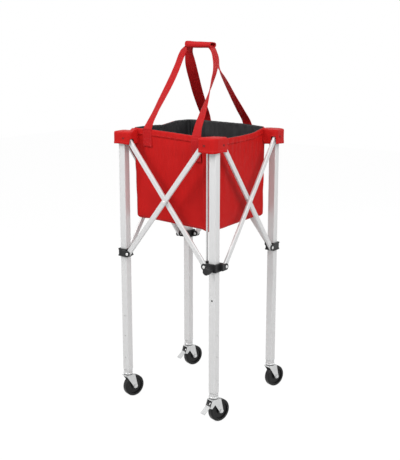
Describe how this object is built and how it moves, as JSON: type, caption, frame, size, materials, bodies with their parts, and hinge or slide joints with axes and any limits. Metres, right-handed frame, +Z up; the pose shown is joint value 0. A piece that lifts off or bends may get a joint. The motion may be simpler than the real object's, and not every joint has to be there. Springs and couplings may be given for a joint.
{
  "type": "ball cart",
  "caption": "Folding four-legged cart on swivel casters that holds a soft open-topped bag with carrying straps over its scissor-braced frame.",
  "frame": {"origin": "on the floor, under the middle of the opened frame", "axes": "+Z up; the carrying grip runs along X; the locking knob faces -Y on the front leg at +X -Y"},
  "size_m": [0.425, 0.4667, 1.211],
  "materials": {
    "aluminium": "satin anodised extrusion",
    "rivet": "bright rivet",
    "black_plastic": "moulded, lightly textured",
    "plug": "moulded pale grey",
    "rod": "plated steel",
    "zinc": "bright zinc plate",
    "pedal": "bright zinc plate",
    "wheel": "satin black",
    "bag_fabric": "coated woven polyester",
    "webbing": "ribbed webbing",
    "grip_fabric": "folded webbing wrap"
  },
  "bodies": {
    "leg_front": {"leg_front": "aluminium", "top_bracket_front": "black_plastic", "top_rivets_front": "rivet", "caster_stem_front": "plug", "stop_rod": "rod"},
    "leg_right": {"leg_right": "aluminium", "top_bracket_right": "black_plastic", "top_rivets_right": "rivet", "caster_stem_right": "plug"},
    "leg_back": {"leg_back": "aluminium", "top_bracket_back": "black_plastic", "top_rivets_back": "rivet", "caster_stem_back": "plug"},
    "leg_left": {"leg_left": "aluminium", "top_bracket_left": "black_plastic", "top_rivets_left": "rivet", "caster_stem_left": "plug"},
    "slider_front": {"slider_front": "black_plastic", "slider_rivets_front": "rivet"},
    "slider_right": {"slider_right": "black_plastic", "slider_rivets_right": "rivet"},
    "slider_back": {"slider_back": "black_plastic", "slider_rivets_back": "rivet"},
    "slider_left": {"slider_left": "black_plastic", "slider_rivets_left": "rivet"},
    "brace_outer_front_left": {"brace_outer_front_left": "aluminium", "cross_rivet_front_left": "rivet"},
    "brace_inner_front_left": {"brace_inner_front_left": "aluminium"},
    "brace_outer_front_right": {"brace_outer_front_right": "aluminium", "cross_rivet_front_right": "rivet"},
    "brace_inner_front_right": {"brace_inner_front_right": "aluminium"},
    "brace_outer_back_right": {"brace_outer_back_right": "aluminium", "cross_rivet_back_right": "rivet"},
    "brace_inner_back_right": {"brace_inner_back_right": "aluminium"},
    "brace_outer_back_left": {"brace_outer_back_left": "aluminium", "cross_rivet_back_left": "rivet"},
    "brace_inner_back_left": {"brace_inner_back_left": "aluminium"},
    "lock_knob": {"lock_knob": "black_plastic"},
    "fork_front": {"caster_fork_front": "zinc", "caster_axle_front": "zinc"},
    "wheel_front": {"wheel_front": "wheel"},
    "fork_right": {"caster_fork_right": "zinc", "caster_axle_right": "zinc"},
    "wheel_right": {"wheel_right": "wheel"},
    "fork_back": {"caster_fork_back": "zinc", "caster_axle_back": "zinc"},
    "wheel_back": {"wheel_back": "wheel"},
    "fork_left": {"caster_fork_left": "zinc", "caster_axle_left": "zinc"},
    "wheel_left": {"wheel_left": "wheel"},
    "brake_front": {"brake_pedal_front": "pedal"},
    "brake_back": {"brake_pedal_back": "pedal"},
    "bag_front": {"bag_corner_front": "bag_fabric"},
    "bag_right": {"bag_corner_right": "bag_fabric"},
    "bag_back": {"bag_corner_back": "bag_fabric"},
    "bag_left": {"bag_corner_left": "bag_fabric"},
    "bag_centre": {"bag_base": "bag_fabric", "strap_front": "webbing", "strap_back": "webbing", "grip_wrap": "grip_fabric"}
  },
  "joints": [
    {"name": "frame_fold", "type": "hinge", "parent": "leg_front", "child": "brace_outer_front_left", "pos_m": [0.152, -0.2005, 0.905], "axis": [0, -1, 0], "range_deg": [0, 32.1], "deforming": ["bag_corner_front", "bag_corner_right", "bag_corner_back", "bag_corner_left", "bag_base", "strap_front", "strap_back"]},
    {"name": "slider_left_pivot", "type": "hinge", "parent": "brace_outer_front_left", "child": "slider_left", "pos_m": [-0.152, -0.2005, 0.522], "axis": [0, -1, 0], "range_deg": [-32.6, 0.5]},
    {"name": "cross_front_left", "type": "hinge", "parent": "brace_outer_front_left", "child": "brace_inner_front_left", "pos_m": [0, -0.19, 0.7135], "axis": [0, -1, 0], "range_deg": [-64.7, 0.5]},
    {"name": "slider_front_pivot", "type": "hinge", "parent": "brace_inner_front_left", "child": "slider_front", "pos_m": [0.152, -0.19, 0.522], "axis": [0, -1, 0], "range_deg": [-0.5, 32.6]},
    {"name": "leg_left_pivot", "type": "hinge", "parent": "brace_inner_front_left", "child": "leg_left", "pos_m": [-0.152, -0.19, 0.905], "axis": [0, -1, 0], "range_deg": [-0.5, 32.6]},
    {"name": "brace_back_left_pivot", "type": "hinge", "parent": "leg_left", "child": "brace_outer_back_left", "pos_m": [-0.2005, -0.152, 0.905], "axis": [-1, 0, 0], "range_deg": [-0.5, 32.6]},
    {"name": "slider_back_pivot", "type": "hinge", "parent": "brace_outer_back_left", "child": "slider_back", "pos_m": [-0.2005, 0.152, 0.522], "axis": [-1, 0, 0], "range_deg": [-32.6, 0.5]},
    {"name": "cross_back_left", "type": "hinge", "parent": "brace_outer_back_left", "child": "brace_inner_back_left", "pos_m": [-0.19, 0, 0.7135], "axis": [-1, 0, 0], "range_deg": [-64.7, 0.5]},
    {"name": "leg_back_pivot", "type": "hinge", "parent": "brace_inner_back_left", "child": "leg_back", "pos_m": [-0.19, 0.152, 0.905], "axis": [-1, 0, 0], "range_deg": [-0.5, 32.6]},
    {"name": "brace_front_right_pivot", "type": "hinge", "parent": "leg_front", "child": "brace_inner_front_right", "pos_m": [0.19, -0.152, 0.905], "axis": [1, 0, 0], "range_deg": [-32.6, 0.5]},
    {"name": "slider_right_pivot", "type": "hinge", "parent": "brace_inner_front_right", "child": "slider_right", "pos_m": [0.19, 0.152, 0.522], "axis": [1, 0, 0], "range_deg": [-0.5, 32.6]},
    {"name": "cross_front_right", "type": "hinge", "parent": "brace_inner_front_right", "child": "brace_outer_front_right", "pos_m": [0.2005, 0, 0.7135], "axis": [1, 0, 0], "range_deg": [-0.5, 64.7]},
    {"name": "leg_right_pivot", "type": "hinge", "parent": "brace_outer_front_right", "child": "leg_right", "pos_m": [0.2005, 0.152, 0.905], "axis": [1, 0, 0], "range_deg": [-32.6, 0.5]},
    {"name": "brace_back_right_pivot", "type": "hinge", "parent": "leg_right", "child": "brace_inner_back_right", "pos_m": [0.152, 0.19, 0.905], "axis": [0, 1, 0], "range_deg": [-32.6, 0.5]},
    {"name": "cross_back_right", "type": "hinge", "parent": "brace_inner_back_right", "child": "brace_outer_back_right", "pos_m": [0, 0.2005, 0.7135], "axis": [0, 1, 0], "range_deg": [-0.5, 64.7]},
    {"name": "bag_lift", "type": "slide", "parent": "leg_front", "child": "bag_front", "axis": [0, 0, 1], "range_m": [0, 0.4]},
    {"name": "bag_left_close", "type": "slide", "parent": "bag_front", "child": "bag_left", "axis": [1, 0, 0], "range_m": [-0.004, 0.254]},
    {"name": "bag_right_close", "type": "slide", "parent": "bag_front", "child": "bag_right", "axis": [0, -1, 0], "range_m": [-0.004, 0.254]},
    {"name": "bag_back_close", "type": "slide", "parent": "bag_front", "child": "bag_back", "axis": [0.7071, -0.7071, 0], "range_m": [-0.004, 0.35755]},
    {"name": "bag_centre_close", "type": "slide", "parent": "bag_front", "child": "bag_centre", "axis": [0.7071, -0.7071, 0], "range_m": [-0.004, 0.18078]},
    {"name": "lock_pull", "type": "slide", "parent": "slider_front", "child": "lock_knob", "axis": [0, -1, 0], "range_m": [0, 0.008], "stiffness_N_per_m": 400, "springref_m": -0.004},
    {"name": "swivel_front", "type": "hinge", "parent": "leg_front", "child": "fork_front", "pos_m": [0.18, -0.18, 0.085], "axis": [0, 0, 1], "continuous": true},
    {"name": "roll_front", "type": "hinge", "parent": "fork_front", "child": "wheel_front", "pos_m": [0.18614, -0.15992, 0.0375], "axis": [-0.9563, 0.2924, 0], "continuous": true},
    {"name": "swivel_right", "type": "hinge", "parent": "leg_right", "child": "fork_right", "pos_m": [0.18, 0.18, 0.085], "axis": [0, 0, 1], "continuous": true},
    {"name": "roll_right", "type": "hinge", "parent": "fork_right", "child": "wheel_right", "pos_m": [0.18614, 0.20008, 0.0375], "axis": [-0.9563, 0.2924, 0], "continuous": true},
    {"name": "swivel_back", "type": "hinge", "parent": "leg_back", "child": "fork_back", "pos_m": [-0.18, 0.18, 0.085], "axis": [0, 0, 1], "continuous": true},
    {"name": "roll_back", "type": "hinge", "parent": "fork_back", "child": "wheel_back", "pos_m": [-0.17386, 0.20008, 0.0375], "axis": [-0.9563, 0.2924, 0], "continuous": true},
    {"name": "swivel_left", "type": "hinge", "parent": "leg_left", "child": "fork_left", "pos_m": [-0.18, -0.18, 0.085], "axis": [0, 0, 1], "continuous": true},
    {"name": "roll_left", "type": "hinge", "parent": "fork_left", "child": "wheel_left", "pos_m": [-0.17386, -0.15992, 0.0375], "axis": [-0.9563, 0.2924, 0], "continuous": true},
    {"name": "brake_front", "type": "hinge", "parent": "fork_front", "child": "brake_front", "pos_m": [0.1743, -0.19865, 0.05712], "axis": [0.9563, -0.2924, 0], "range_deg": [0, 12]},
    {"name": "brake_back", "type": "hinge", "parent": "fork_back", "child": "brake_back", "pos_m": [-0.1857, 0.16135, 0.05712], "axis": [0.9563, -0.2924, 0], "range_deg": [0, 12]}
  ],
  "couplings": [
    {"joint": "slider_left_pivot", "follows": "frame_fold", "ratio": -1},
    {"joint": "cross_front_left", "follows": "frame_fold", "ratio": -2},
    {"joint": "slider_front_pivot", "follows": "frame_fold", "ratio": 1},
    {"joint": "leg_left_pivot", "follows": "frame_fold", "ratio": 1},
    {"joint": "brace_back_left_pivot", "follows": "frame_fold", "ratio": 1},
    {"joint": "slider_back_pivot", "follows": "frame_fold", "ratio": -1},
    {"joint": "cross_back_left", "follows": "frame_fold", "ratio": -2},
    {"joint": "leg_back_pivot", "follows": "frame_fold", "ratio": 1},
    {"joint": "brace_front_right_pivot", "follows": "frame_fold", "ratio": -1},
    {"joint": "slider_right_pivot", "follows": "frame_fold", "ratio": 1},
    {"joint": "cross_front_right", "follows": "frame_fold", "ratio": 2},
    {"joint": "leg_right_pivot", "follows": "frame_fold", "ratio": -1},
    {"joint": "brace_back_right_pivot", "follows": "frame_fold", "ratio": -1},
    {"joint": "cross_back_right", "follows": "frame_fold", "ratio": 2},
    {"joint": "bag_left_close", "follows": "frame_fold", "m_per_rad": 0.44624},
    {"joint": "bag_right_close", "follows": "frame_fold", "m_per_rad": 0.44624},
    {"joint": "bag_back_close", "follows": "frame_fold", "m_per_rad": 0.63108},
    {"joint": "bag_centre_close", "follows": "frame_fold", "m_per_rad": 0.31554}
  ]
}
